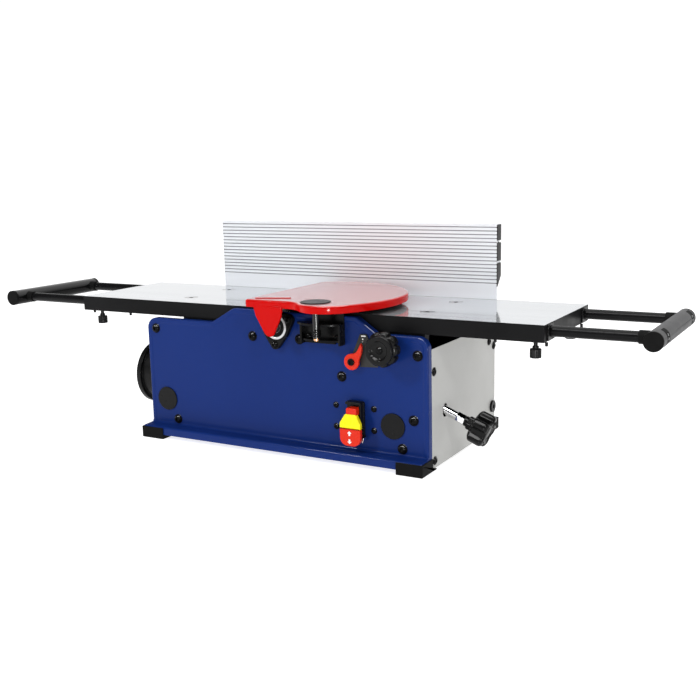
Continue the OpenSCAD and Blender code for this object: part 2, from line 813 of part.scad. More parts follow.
// plan of the guard
guard_pts = concat(
  curve([-37.5, -40], [-37.5, -50], [-27.5, -50]),
  curve([38, -48], [52, -48], [64, -58]),
  curve([72, -64], [82, -76], [100, -77]),
  curve([100, -77], [126, -77], [146, -50]),
  curve([146, -50], [178, 0], [178, 50]),
  curve([178, 50], [178, 95], [156, 130]),
  curve([156, 130], [128, 174.5], [88, 192]),
  curve([88, 192], [58, 204.2], [30, 204.2]),
  curve([30, 204.2], [4, 204.2], [-16, 198.5]),
  curve([-16, 198.5], [-38, 192], [-39, 168]));

module guard_plate() {
  color([0.80, 0.05, 0.04]) placed() {
    difference() {
      translate([0, 0, guard_z]) linear_extrude(guard_t) polygon(guard_pts);
      translate([76, 60, guard_z - 1]) linear_extrude(guard_t - 3) scale(0.93)
        translate([-76, -60]) polygon(guard_pts);
    }
    zcyl(piv_x, piv_y, 14, guard_z, guard_z + guard_t - 1);
    zcyl(piv_x, piv_y, 5.5, 184, guard_z + 4);
    box(-22, 31, -50, -46, guard_z - 2, guard_z + 10);
    xz(-50, -46.5) {
      polygon([[-22, guard_z], [31, guard_z], [17.8, 206], [-4.8, 206]]);
      translate([6.5, 206]) circle(r = 11.3);
    }
  }
}

module guard_cap() {
  color([0.10, 0.10, 0.105]) placed() zcyl(piv_x, piv_y, 23, guard_z + guard_t, guard_z + guard_t + 1.5);
}

module slide_plate() {
  color([0.10, 0.10, 0.105]) placed() difference() {
    union() {
      box(-45, 45, 229, plate_y1, plate_z, plate_z + 8);
      for (x = [-34, 22]) {
        xcyl(hinge_y, hinge_z, 7, x, x + 12);
        box(x, x + 12, hinge_y, 232, hinge_z - 4.4, hinge_z + 5);
      }
    }
    box(-21.5, 21.5, 228, 248, plate_z - 1, plate_z + 9);
    for (x = [-34, 22]) xcyl(hinge_y, hinge_z, 4.02, x - 1, x + 13);
    box(-5.6, 5.6, lock_y - 0.5, lock_y + fence_travel + 0.5, plate_z - 1, plate_z + 9);
    for (y = [lock_y - 0.5, lock_y + fence_travel + 0.5])
      zcyl(0, y, 5.6, plate_z - 1, plate_z + 9);
  }
}

module tilt_pin() {
  color([0.7, 0.7, 0.72]) placed() {
    xcyl(hinge_y, hinge_z, 4, -37, 60);
    xcyl(hinge_y, hinge_z, 6, -40, -34.3);
  }
}

// fence section in Y and Z: grooved face, two cells behind
module fence_section() {
  difference() {
    polygon([[fence_y, fence_z], [fence_y, fence_top], [fence_y + 18.5, fence_top],
      [fence_y + 18.5, table_h + 37], [fence_y + 3.6, table_h + 20], [fence_y + 3.6, fence_z]]);
    for (k = [0:15]) translate([fence_y - 1, fence_top - 5.6 - groove * k]) square([2.2, 1.6]);
    translate([fence_y + 4, fence_top - 24]) square([10.5, 21]);
    translate([fence_y + 4, fence_top - 57]) square([10.5, 29]);
    polygon([[fence_y + 4, table_h + 60], [fence_y + 4, table_h + 25],
      [fence_y + 14.5, table_h + 38], [fence_y + 14.5, table_h + 60]]);
    translate([fence_y + 14, fence_top - 31]) square([6, 8]);
  }
}

module fence_bar() {
  color([0.80, 0.81, 0.83]) placed() yz(fence_x0, fence_x1) fence_section();
}

module fence_end_caps() {
  color([0.04, 0.04, 0.045]) placed() for (x = [fence_x0 + 1, fence_x1 - 9]) yz(x, x + 8) {
    translate([fence_y + 4.05, fence_top - 23.95]) square([10.4, 20.9]);
    translate([fence_y + 4.05, fence_top - 56.95]) square([10.4, 28.9]);
  }
}

module fence_bracket() {
  color([0.10, 0.10, 0.105]) placed() difference() {
    union() {
      xcyl(hinge_y, hinge_z, 7, -21, 21);
      yz(-21, 21) polygon([[hinge_y - 3, hinge_z], [hinge_y - 3, hinge_z + 8],
        [fence_y + 18.55, hinge_z + 25], [fence_y + 18.55, 338], [fence_y + 25, 338],
        [fence_y + 25, hinge_z + 20], [hinge_y + 7, hinge_z]]);
    }
    xcyl(hinge_y, hinge_z, 4.06, -22, 22);
    for (x = [-12, 12]) {
      for (z = [302, 326]) ycyl(x, z, 2.6, fence_y + 18, fence_y + 26);
    }
  }
}

module fence_bolts() {
  color([0.5, 0.5, 0.52]) placed() for (x = [-12, 12]) {
    for (z = [302, 326]) {
      ycyl(x, z, 2.5, fence_y + 18.6, fence_y + 26);
      ycyl(x, z, 5, fence_y + 25, fence_y + 29);
    }
  }
}

module slide_lock_lever() {
  color([0.05, 0.05, 0.055]) placed() {
    zcyl(0, lock_y, 5, plate_z - 8, plate_z + 10);
    zcyl(0, lock_y, 8, plate_z + 8.4, plate_z + 17.5);
    box(-4, 4, lock_y, lock_y + 58, plate_z + 12, plate_z + 19);
    zcyl(0, lock_y + 60, 7, plate_z + 10, plate_z + 21);
  }
}

module tilt_lock_lever() {
  color([0.05, 0.05, 0.055]) placed() difference() {
    union() {
      xcyl(hinge_y, hinge_z, 7, 35, 56);
      translate([0, hinge_y, hinge_z]) rotate([18, 0, 0]) {
        box(47, 55, 0, 56, -3.5, 3.5);
        xcyl(58, 0, 6, 46, 62);
      }
    }
    xcyl(hinge_y, hinge_z, 4.06, 34, 64);
  }
}

module switch_flap() {
  color([0.97, 0.88, 0.02]) placed() xz(cast_y - 24, cast_y - 18)
    polygon([[128, 83], [147, 83], [156, 69], [156, 60.05], [118, 60.05], [118, 69]]);
}

module switch_paddle() {
  color([0.90, 0.12, 0.03]) placed() {
    xz(cast_y - 24, cast_y - 18) {
      translate([118, 45]) square([38, 15]);
      translate([132, 31]) square([10, 20]);
      translate([132, 45]) circle(r = 14);
      translate([142, 45]) circle(r = 14);
    }
    xz(cast_y - 24, cast_y - 8) polygon([[130.3, 83.05], [146.7, 83.05], [146.7, 92], [130.3, 92]]);
    xcyl(cast_y - 9, 88, 1.6, 127, 149.5);
  }
}

front_casting();
rear_casting();
bottom_pan();
end_panel_right();
end_panel_left();
rubber_feet();
casting_screws();
panel_screws();
hole_plugs();
bearing_flange();
head_bearings();
way_frame();
outfeed_table();
outfeed_top_screws();
outfeed_tube_clamps();
guard_bracket();
guard_spring();
scale_plate();
switch_frame();
switch_screws();
motor_body();
drive_belt();
dust_chute();
dust_outlet();
cord_gland();
fence_pedestal();
cutterhead();
cutter_inserts();
head_pulley();
motor_rotor();
infeed_table();
infeed_slide();
infeed_top_screws();
infeed_tube_clamps();
depth_pointer();
depth_screw();
star_knob();
table_lock_knob();
infeed_tubes();
infeed_bar_fittings();
infeed_bar();
outfeed_tubes();
outfeed_bar_fittings();
outfeed_bar();
infeed_knob_front();
infeed_knob_rear();
outfeed_knob_front();
outfeed_knob_rear();
guard_plate();
guard_cap();
slide_plate();
tilt_pin();
fence_bar();
fence_end_caps();
fence_bracket();
fence_bolts();
slide_lock_lever();
tilt_lock_lever();
switch_flap();
switch_paddle();
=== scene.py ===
import json
import math

import bmesh
import bpy
from mathutils import Matrix, Vector, geometry


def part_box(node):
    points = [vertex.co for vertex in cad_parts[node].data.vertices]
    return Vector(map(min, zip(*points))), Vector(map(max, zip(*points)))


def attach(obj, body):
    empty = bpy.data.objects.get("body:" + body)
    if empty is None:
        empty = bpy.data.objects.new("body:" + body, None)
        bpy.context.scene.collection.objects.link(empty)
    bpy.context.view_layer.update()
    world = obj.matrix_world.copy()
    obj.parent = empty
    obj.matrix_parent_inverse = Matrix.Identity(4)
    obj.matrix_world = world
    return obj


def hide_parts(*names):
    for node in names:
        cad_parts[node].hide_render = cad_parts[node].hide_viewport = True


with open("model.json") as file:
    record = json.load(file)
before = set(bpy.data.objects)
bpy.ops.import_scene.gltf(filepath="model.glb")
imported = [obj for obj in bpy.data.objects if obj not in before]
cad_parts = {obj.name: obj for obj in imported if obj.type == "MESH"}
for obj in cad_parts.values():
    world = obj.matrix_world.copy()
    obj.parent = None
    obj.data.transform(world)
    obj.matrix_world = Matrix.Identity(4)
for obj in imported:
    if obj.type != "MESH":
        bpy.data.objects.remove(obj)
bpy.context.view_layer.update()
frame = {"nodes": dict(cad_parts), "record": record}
nodes = frame["nodes"]
body_of = {n: b for b, ns in frame["record"]["behaviour"]["bodies"].items() for n in ns}
slot_of = {s["node"]: s["material_slot"] for s in frame["record"]["subparts"]}

# ---------------------------------------------------------------- drawing frame
# X = 0 mid-table, Y = 0 on the tables' front edge, Z = 0 on the bench, millimetres
OFF_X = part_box("infeed_table")[1].x - 0.4255
OFF_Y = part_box("infeed_table")[0].y
TABLE_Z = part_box("infeed_table")[1].z * 1000

BASE_X0, BASE_X1 = -269, 257        # ends of both castings and of the end panels
FRONT_Y, REAR_Y = -12, 252.5        # outer faces of the castings
FENCE_X0, FENCE_X1 = -266, 276
FENCE_Y, FENCE_TOP = 208.3, 352.3   # face and upper edge of the fence
GUARD_Z = TABLE_Z + 8               # underside of the guard
PIVOT = (86, -41)                   # axis of the guard's post (x, y)
HEAD_AXIS = (-3.0, 204.5)           # axis of the cutterhead (x, z)
LOCK_AXIS = (194.6, 186.4)          # axis of the table lock knob (x, z)
POINTER_AXIS = (133.6, 160.1)       # eye of the depth pointer (x, z)
SCREW_START = (257, 47.5, 83)       # depth screw where it leaves the right panel
SCREW_SLOPE = math.radians(22)
BAR_Z = 219.5                       # axis of the round support bars


def P(x, y, z):
    """Drawing-frame millimetres to scene metres."""
    return Vector((x / 1000 + OFF_X, y / 1000 + OFF_Y, z / 1000))


def turn(n):
    """n equal steps round a circle."""
    return [math.tau * k / n for k in range(n)]


# ---------------------------------------------------------------- shader helpers
def new_mat(name):
    m = bpy.data.materials.new(name)
    m.use_nodes = True
    nt = m.node_tree
    return m, nt, nt.nodes["Principled BSDF"]


def N(nt, kind, **props):
    n = nt.nodes.new(kind)
    for k, v in props.items():
        setattr(n, k, v)
    return n


def noise(nt, scale, detail=3.0, stretch=(1, 1, 1)):
    tc = N(nt, "ShaderNodeTexCoord")
    mp = N(nt, "ShaderNodeMapping")
    mp.inputs["Scale"].default_value = stretch
    nz = N(nt, "ShaderNodeTexNoise")
    nz.inputs["Scale"].default_value = scale
    nz.inputs["Detail"].default_value = detail
    nt.links.new(tc.outputs["Object"], mp.inputs["Vector"])
    nt.links.new(mp.outputs["Vector"], nz.inputs["Vector"])
    return nz.outputs["Fac"]


def ramp(nt, fac, stops):
    r = N(nt, "ShaderNodeValToRGB")
    e = r.color_ramp.elements
    while len(e) < len(stops):
        e.new(0.5)
    for el, (pos, col) in zip(e, stops):
        el.position = pos
        el.color = (*col, 1)
    nt.links.new(fac, r.inputs["Fac"])
    return r.outputs["Color"]


def to_range(nt, fac, lo, hi, a=0.3, b=0.7):
    """Maps a..b to lo..hi."""
    mr = N(nt, "ShaderNodeMapRange")
    mr.inputs["From Min"].default_value = a
    mr.inputs["From Max"].default_value = b
    mr.inputs["To Min"].default_value = lo
    mr.inputs["To Max"].default_value = hi
    nt.links.new(fac, mr.inputs["Value"])
    return mr.outputs["Result"]


def xyz(nt, vector):
    sep = N(nt, "ShaderNodeSeparateXYZ")
    nt.links.new(vector, sep.inputs["Vector"])
    return sep.outputs


def by_facing(nt, lo, hi, a=0.55, b=0.8, top=None):
    """A value that runs from lo on upright faces to hi on faces that look up, and to top on level ones."""
    z = xyz(nt, N(nt, "ShaderNodeNewGeometry").outputs["Normal"])["Z"]
    if top is None:
        return to_range(nt, z, lo, hi, a, b)
    return ramp(nt, z, [(a, (lo,) * 3), (b, (hi,) * 3), (0.8, (hi,) * 3), (0.93, (top,) * 3)])


def bump(nt, bsdf, height, strength, dist, prev=None):
    b = N(nt, "ShaderNodeBump")
    b.inputs["Strength"].default_value = strength
    b.inputs["Distance"].default_value = dist
    nt.links.new(height, b.inputs["Height"])
    if prev is not None:
        nt.links.new(prev, b.inputs["Normal"])
    nt.links.new(b.outputs["Normal"], bsdf.inputs["Normal"])
    return b.outputs["Normal"]


def shade(colour, k):
    return tuple(min(1.0, v * k) for v in colour)


def surface(name, base, rough, metal=0.0, vary=0.2, big=9.0, fine=700, fine_bump=0.05,
            stretch=(1, 1, 1), coat=0.0, coat_rough=0.05, spec=0.5, orange=0.0):
    """Painted, moulded or metal surface: slow colour and roughness changes, fine grain, orange peel."""
    m, nt, b = new_mat(name)
    b.inputs["Metallic"].default_value = metal
    b.inputs["Specular IOR Level"].default_value = spec
    b.inputs["Coat Weight"].default_value = coat
    b.inputs["Coat Roughness"].default_value = coat_rough
    colour = ramp(nt, noise(nt, big, 4.0, stretch),
                  [(0.3, shade(base, 1 - vary)), (0.7, shade(base, 1 + vary))])
    nt.links.new(colour, b.inputs["Base Color"])
    nt.links.new(to_range(nt, noise(nt, big * 5, 5.0, stretch), *rough), b.inputs["Roughness"])
    grain = bump(nt, b, noise(nt, fine, 4.0, stretch), fine_bump, 0.0003)
    if orange:
        bump(nt, b, noise(nt, 55.0, 1.0), orange, 0.0006, grain)
    return m


# ---------------------------------------------------------------- materials
BLUE = dict(base=(0.0066, 0.0255, 0.155), rough=(0.16, 0.24), vary=0.05, big=5, fine=900,
            fine_bump=0.02, spec=0.06, orange=0.012)
SURFACES = {
    # paint
    "blue_paint": dict(BLUE, coat_rough=0.03),
    "blue_ledge": dict(BLUE, coat=0.08),
    "grey_sheet": dict(base=(0.46, 0.46, 0.445), rough=(0.36, 0.46), vary=0.02, big=7,
                       fine_bump=0.06, orange=0.03, spec=0.3),
    "black_paint": dict(base=(0.0040, 0.0040, 0.0044), rough=(0.20, 0.30), fine=600, fine_bump=0.08,
                        spec=0.10),
    "red_paint": dict(base=(0.54, 0.0012, 0.0008), rough=(0.10, 0.14), vary=0.04, big=6, fine=800,
                      fine_bump=0.012, coat=1.0, spec=0.1),
    "dark_casting": dict(base=(0.030, 0.030, 0.032), rough=(0.5, 0.65), vary=0.25, fine=420,
                         fine_bump=0.4, spec=0.2),
    # print
    "scale_print": dict(base=(0.028, 0.028, 0.027), rough=(0.4, 0.5), vary=0.12, fine_bump=0.08, spec=0.2),
    "white_print": dict(base=(0.85, 0.85, 0.83), rough=(0.4, 0.5), vary=0.03),
    # metal
    "black_steel": dict(base=(0.005, 0.005, 0.0052), rough=(0.07, 0.13), vary=0.25, fine_bump=0.04,
                        spec=0.06),
    "post_steel": dict(base=(0.004, 0.004, 0.0042), rough=(0.12, 0.18), fine_bump=0.02, spec=0.06,
                       coat=0.5, coat_rough=0.03),
    "steel": dict(base=(0.50, 0.50, 0.51), rough=(0.22, 0.36), metal=1, vary=0.10, fine=500,
                  fine_bump=0.08),
    "chrome": dict(base=(0.78, 0.78, 0.79), rough=(0.05, 0.12), metal=1, vary=0.04, fine=500,
                   fine_bump=0.02),
    "carbide": dict(base=(0.42, 0.43, 0.44), rough=(0.16, 0.28), metal=1, vary=0.10, fine=600),
    "brass": dict(base=(0.72, 0.40, 0.22), rough=(0.18, 0.28), metal=1, vary=0.08, fine=500),
    "fence_alloy": dict(base=(0.76, 0.78, 0.81), rough=(0.30, 0.42), metal=0.2, vary=0.04, big=14,
                        fine=420, fine_bump=0.08, stretch=(0.04, 1, 1)),
    # painted shade: dark grey for the floors of the fence's grooves
    "groove_shade": dict(base=(0.22, 0.22, 0.23), rough=(0.45, 0.6), metal=0.3, vary=0.08, fine=500,
                         fine_bump=0.1),
    # plastic and rubber
    "rubber": dict(base=(0.006, 0.006, 0.006), rough=(0.50, 0.66), fine=800, fine_bump=0.2, spec=0.05),
    "black_plastic": dict(base=(0.0065, 0.0065, 0.0068), rough=(0.24, 0.36), fine=900, fine_bump=0.12,
                          spec=0.12),
    "knob_plastic": dict(base=(0.006, 0.006, 0.0062), rough=(0.16, 0.24), fine=900, fine_bump=0.08,
                         coat_rough=0.2, spec=0.12),
    "red_plastic": dict(base=(0.70, 0.020, 0.002), rough=(0.22, 0.32), vary=0.04, spec=0.2),
    "yellow_plastic": dict(base=(0.95, 0.82, 0.003), rough=(0.25, 0.35), vary=0.03, spec=0.2),
    "bar_grey": dict(base=(0.115, 0.115, 0.117), rough=(0.50, 0.62), vary=0.10, fine=900, fine_bump=0.3,
                     spec=0.08),
}
M = {name: surface(name, **options) for name, options in SURFACES.items()}

# gloss that grows where a face turns upwards: socket, then by_facing's limits
GLOSS = {"blue_paint": [("Coat Weight", 0.04, 0.9, 0.1, 0.5, 0.08)],
         "black_steel": [("Coat Weight", 0.0, 0.9, 0.12, 0.5)],
         "knob_plastic": [("Coat Weight", 0.0, 0.12, 0.15, 0.55)],
         "red_paint": [("Coat Weight", 0.06, 1.0), ("Specular IOR Level", 0.05, 1.0),
                       ("Sheen Weight", 0.0, 0.7)]}
for name, rows in GLOSS.items():
    nt = M[name].node_tree
    for socket, *limits in rows:
        nt.links.new(by_facing(nt, *limits), nt.nodes["Principled BSDF"].inputs[socket])
M["red_paint"].node_tree.nodes["Principled BSDF"].inputs["Sheen Roughness"].default_value = 0.25


def table_mat():
    """Ground alloy on the level top of a table, black paint on everything below it."""
    m, nt, b = new_mat("table_alloy")
    z_normal = xyz(nt, N(nt, "ShaderNodeNewGeometry").outputs["Normal"])["Z"]
    z_place = xyz(nt, N(nt, "ShaderNodeTexCoord").outputs["Object"])["Z"]
    is_top = N(nt, "ShaderNodeMath", operation="MULTIPLY")
    nt.links.new(to_range(nt, z_normal, 0.0, 1.0, 0.55, 0.75), is_top.inputs[0])
    nt.links.new(to_range(nt, z_place, 0.0, 1.0, TABLE_Z / 1000 - 0.0011, TABLE_Z / 1000 - 0.0009),
                 is_top.inputs[1])

    def blend(kind, below, above, socket):
        mix = N(nt, "ShaderNodeMix", data_type=kind)
        nt.links.new(is_top.outputs[0], mix.inputs["Factor"])
        nt.links.new(below, mix.inputs["A"])
        nt.links.new(above, mix.inputs["B"])
        nt.links.new(mix.outputs["Result"], b.inputs[socket])

    blend("RGBA",
          ramp(nt, noise(nt, 12, 4.0), [(0.3, (0.0040, 0.0040, 0.0044)), (0.7, (0.0070, 0.0070, 0.0076))]),
          ramp(nt, noise(nt, 30, 4.0, (0.05, 1, 1)), [(0.3, (0.56, 0.58, 0.605)), (0.7, (0.62, 0.64, 0.665))]),
          "Base Color")
    blend("FLOAT",
          to_range(nt, noise(nt, 40, 4.0), 0.34, 0.46),
          to_range(nt, noise(nt, 60, 4.0, (0.05, 1, 1)), 0.05, 0.11),
          "Roughness")
    nt.links.new(to_range(nt, is_top.outputs[0], 0.0, 0.55, 0.0, 1.0), b.inputs["Metallic"])
    nt.links.new(to_range(nt, is_top.outputs[0], 0.08, 0.5, 0.0, 1.0), b.inputs["Specular IOR Level"])
    bump(nt, b, noise(nt, 500, 3.0, (0.03, 1, 1)), 0.012, 0.0002)
    return m


M["table_alloy"] = table_mat()

# nodes shown in another material than their slot's
FINISH = {"infeed_tubes": "black_paint", "outfeed_tubes": "black_paint",
          "infeed_bar_fittings": "rubber", "outfeed_bar_fittings": "rubber"}


def finish_piece(ob, node, mat=None):
    ob.data.materials.clear()
    ob.data.materials.append(M[mat or slot_of[node]])
    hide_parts(node)
    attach(ob, body_of[node])


# ---------------------------------------------------------------- rounded copies of the CAD nodes
# edge radii in millimetres, where they differ from the usual one
EDGE = 0.45
EDGES = {"rubber_feet": 1.2, "dust_chute": 0.8, "dust_outlet": 0.8, "cord_gland": 0.6,
         "infeed_bar": 0.5, "outfeed_bar": 0.5, "infeed_bar_fittings": 0.8, "outfeed_bar_fittings": 0.8,
         "end_panel_right": 0.4, "end_panel_left": 0.4, "infeed_table": 0.7, "outfeed_table": 0.7,
         "fence_bar": 0.18, "fence_bracket": 0.15, "slide_plate": 0.15, "cutter_inserts": 0.2}
# nodes modelled again below
REBUILT = {"front_casting", "rear_casting", "guard_plate", "guard_cap", "guard_bracket", "guard_spring",
           "table_lock_knob", "star_knob", "switch_frame", "switch_flap", "switch_paddle",
           "depth_pointer", "scale_plate", "bearing_flange",
           "casting_screws", "switch_screws", "panel_screws"}


def welded(node):
    bm = bmesh.new()
    bm.from_mesh(nodes[node].data)
    bmesh.ops.remove_doubles(bm, verts=bm.verts, dist=2e-6)
    return bm


def rounded(node):
    me = nodes[node].data.copy()
    me.name = "m_" + node
    bm = welded(node)
    bmesh.ops.dissolve_limit(bm, angle_limit=math.radians(0.6), verts=bm.verts, edges=bm.edges)
    bm.to_mesh(me)
    bm.free()
    ob = bpy.data.objects.new("v_" + node, me)
    bpy.context.collection.objects.link(ob)
    for p in me.polygons:
        p.use_smooth = True
    bv = ob.modifiers.new("bevel", "BEVEL")
    bv.width = EDGES.get(node, EDGE) / 1000
    bv.segments = 3
    bv.limit_method = "ANGLE"
    bv.angle_limit = math.radians(32)
    bv.use_clamp_overlap = False
    bv.miter_outer = "MITER_ARC"
    ob.modifiers.new("wn", "WEIGHTED_NORMAL").keep_sharp = False
    finish_piece(ob, node, FINISH.get(node))


for node in sorted(nodes):
    if node not in REBUILT:
        rounded(node)


# ---------------------------------------------------------------- outlines
def corners(pts):
    """Each point of a closed outline with its neighbours."""
    n = len(pts)
    return [(Vector(pts[i - 1]), Vector(pts[i]), Vector(pts[(i + 1) % n])) for i in range(n)]


def offset_poly(pts, d):
    """Straight-sided outline moved inwards by d; the points run anticlockwise."""
    out = []
    for p0, p1, p2 in corners(pts):
        e0, e1 = (p1 - p0).normalized(), (p2 - p1).normalized()
        n0, n1 = Vector((-e0.y, e0.x)), Vector((-e1.y, e1.x))
        out.append(p1 + (n0 + n1) * (d / max(0.2, 1 + n0.dot(n1))))
    return out


def smooth_inset(pts, d):
    """A dense smooth outline moved inwards by d along its own normals."""
    out = []
    for p0, p1, p2 in corners(pts):
        t = (p2 - p0).normalized()
        out.append(p1 + Vector((-t.y, t.x)) * d)
    return out


def round_poly(pts, radii, steps=8):
    out = []
    for (p0, p1, p2), radius in zip(corners(pts), radii):
        a, c = (p0 - p1).normalized(), (p2 - p1).normalized()
        half = math.acos(max(-1, min(1, a.dot(c)))) / 2
        r = max(0.05, radius)
        t = r / math.tan(half)
        centre = p1 + (a + c).normalized() * (r / math.sin(half))
        s, e = p1 + a * t - centre, p1 + c * t - centre
        a0 = math.atan2(s.y, s.x)
        da = (math.atan2(e.y, e.x) - a0 + math.pi) % (2 * math.pi) - math.pi
        for k in range(steps + 1):
            w = a0 + da * k / steps
            out.append(centre + Vector((math.cos(w), math.sin(w))) * r)
    return out


def bezier(a, b, c, n=12):
    return [Vector(a) * (1 - t) ** 2 + Vector(b) * 2 * t * (1 - t) + Vector(c) * t * t
            for t in (k / n for k in range(n))]


def edge_profile(r, steps=5):
    """Inset and height of a rounded edge of radius r, from the side up to the face."""
    return [(r * (1 - math.cos(a)), r * math.sin(a))
            for a in (math.pi / 2 * k / steps for k in range(steps + 1))]


def flat(r):
    """Constant radius, as a function of the angle."""
    return lambda a: r


def level_ring(centre, z, r, n=40):
    return [(centre[0] + r * math.cos(a), centre[1] + r * math.sin(a), z) for a in turn(n)]


def upright_ring(centre, y, rad, n=144):
    return [(centre[0] + rad(a) * math.cos(a), y, centre[1] + rad(a) * math.sin(a)) for a in turn(n)]


def turned(centre, profile, n=144):
    """Rings of a part turned about an axis along Y, from (y, radius) rows."""
    return [upright_ring(centre, y, flat(r), n) for y, r in profile]


class Build:
    """Collects the loops and faces of one piece, in drawing-frame millimetres."""

    def __init__(self):
        self.v, self.f = [], []

    def loft(self, loops, start=True, end=True):
        n = len(loops[0])
        base = len(self.v)
        for loop in loops:
            self.v += [P(*p) for p in loop]
        for i in range(len(loops) - 1):
            a, b = base + i * n, base + (i + 1) * n
            for j in range(n):
                k = (j + 1) % n
                self.f.append((a + j, a + k, b + k, b + j))
        if start:
            self.f.append(tuple(range(base + n - 1, base - 1, -1)))
        if end:
            last = base + (len(loops) - 1) * n
            self.f.append(tuple(range(last, last + n)))
        return self

    def plate(self, outline, y0, y1, r=1.2, steps=4, inset=smooth_inset):
        """Upright plate between y0 (back) and y1 (face towards -Y) with a rounded face edge."""
        loops = [[(p.x, y0, p.y) for p in inset(outline, 0.3)]]
        loops += [[(p.x, y1 + r - z, p.y) for p in inset(outline, i)] for i, z in edge_profile(r, steps)]
        return self.loft(loops)

    def piece(self, name, node, mat=None, flat_angle=38):
        me = bpy.data.meshes.new("m_" + name)
        me.from_pydata([tuple(v) for v in self.v], [], self.f)
        me.validate()
        bm = bmesh.new()
        bm.from_mesh(me)
        bmesh.ops.recalc_face_normals(bm, faces=bm.faces)
        bm.to_mesh(me)
        bm.free()
        for p in me.polygons:
            p.use_smooth = True
        me.set_sharp_from_angle(angle=math.radians(flat_angle))
        ob = bpy.data.objects.new("v_" + name, me)
        bpy.context.collection.objects.link(ob)
        ob.modifiers.new("wn", "WEIGHTED_NORMAL").keep_sharp = True
        finish_piece(ob, node, mat)


# ---------------------------------------------------------------- castings
CAST = [(BASE_X0, 7), (BASE_X1, 7), (BASE_X1, 203.5), (173.5, 203.5), (138, 228), (-89, 228),
        (-132.5, 203.5), (BASE_X0, 203.5)]
CAST_RADII = [3, 3, 18, 9, 9, 12, 12, 18]
CONVEX = [1, 1, 1, -1, 1, 1, -1, 1]


def casting(name, node, wall_y, s, short=0.0):
    """s is -1 for the front casting, whose face looks towards -Y, and 1 for the rear one."""
    ends = {BASE_X0: BASE_X0 + short, BASE_X1: BASE_X1 - short}
    outline = [(ends.get(x, x), z) for x, z in CAST]

    def loop(inset, depth):
        radii = [r - inset * side for r, side in zip(CAST_RADII, CONVEX)]
        return [(p.x, wall_y + s * depth, p.y) for p in round_poly(offset_poly(outline, inset), radii)]

    rim = [(i, z - 1.7) for i, z in edge_profile(2.6)]
    inner = [(6.2, 0.9), (7.0, 0.8), (7.8, 0.45), (8.6, 0.1), (9.4, 0)]
    Build().loft([loop(i, d) for i, d in [(6, -6), (6, -11), (0, -11)] + rim + inner]).piece(
        name, node, flat_angle=50)


def ledge(name, node, wall_y, s, depth, short=0.0):
    """The foot ledge under a casting: a rounded bar with a fillet up to the wall."""
    prof = [(0, 7), (depth - 1.5, 7)]
    prof += [(depth - 1.5 + 1.5 * math.sin(a), 8.5 - 1.5 * math.cos(a)) for a in (0.4, 0.8, 1.2, 1.57)]
    prof += [(depth, 17.5)]
    prof += [(depth - 3.5 + 3.5 * math.cos(a), 17.5 + 3.5 * math.sin(a)) for a in (0.3, 0.6, 0.9, 1.2, 1.57)]
    prof += [(4, 21)]
    prof += [(4 - 4 * math.sin(a), 25 - 4 * math.cos(a)) for a in (0.4, 0.8, 1.2, 1.57)]
    prof += [(-0.5, 25)]
    mid_d, mid_z, fillet_d = depth * 0.48, 13, 5

    def loop(x, k):
        """Cross-section at x; k below 1 draws it in towards its middle, away from the fillet."""
        return [(x, wall_y + s * (mid_d + (d - mid_d) * k), mid_z + (z - mid_z) * k) if d > fillet_d
                else (x, wall_y + s * d, z) for d, z in prof]

    ends = ((BASE_X0 + short, 0.94), (BASE_X0 + 0.6 + short, 0.98), (BASE_X0 + 1.6 + short, 1),
            (BASE_X1 - 1.6 - short, 1), (BASE_X1 - 0.6 - short, 0.98), (BASE_X1 - short, 0.94))
    Build().loft([loop(x, k) for x, k in ends]).piece(name, node, "blue_ledge", 50)


casting("front_wall", "front_casting", FRONT_Y, -1)
ledge("front_ledge", "front_casting", FRONT_Y, -1, 26)
casting("rear_wall", "rear_casting", REAR_Y, 1, 1.6)
ledge("rear_ledge", "rear_casting", REAR_Y, 1, 13.5, 1.6)

# ---------------------------------------------------------------- guard
GUARD = (bezier((-40, -39), (-40, -50), (-29, -50), 9)
         + [Vector((-10, -49.5)), Vector((10, -49)), Vector((25, -48.5))]
         + bezier((38, -48), (52, -48), (64, -58), 8)
         + bezier((64, -58), (82, -76), (100, -76.6), 10)
         + bezier((100, -76.6), (126, -76.6), (146, -50), 12)
         + bezier((146, -50), (178, 0), (178, 50), 14)
         + bezier((178, 50), (178, 95), (156, 130), 12)
         + bezier((156, 130), (128, 174.5), (88, 192), 12)
         + bezier((88, 192), (58, 204), (30, 204), 10)
         + bezier((30, 204), (4, 204), (-16, 198.5), 8)
         + bezier((-16, 198.5), (-38, 192), (-39, 168), 10)
         + [Vector((-39.1, 140)), Vector((-39.3, 100)), Vector((-39.6, 50)), Vector((-39.8, 0))])
TAB = [Vector((-22, GUARD_Z + 3)), Vector((-18.5, 226)), Vector((-5.4, 204)), Vector((-1.9, 198.6))]
TAB += [Vector((6.5 + 10.2 * math.cos(a), 204.6 + 10.2 * math.sin(a)))
        for a in (math.radians(d) for d in range(215, 330, 12))]
TAB += [Vector((17.8, 205)), Vector((28.6, 226)), Vector((31, GUARD_Z + 3))]


def guard_loop(inset, h):
    return [(p.x, p.y, GUARD_Z + h) for p in smooth_inset(GUARD, inset)]


def tab_loop(inset, y):
    return [(p.x, y, p.y) for p in smooth_inset(TAB, inset)]


def post_rings(rows, n=40):
    """Rings about the guard's pivot, from (radius, height) rows."""
    return [level_ring(PIVOT, z, r, n) for r, z in rows]


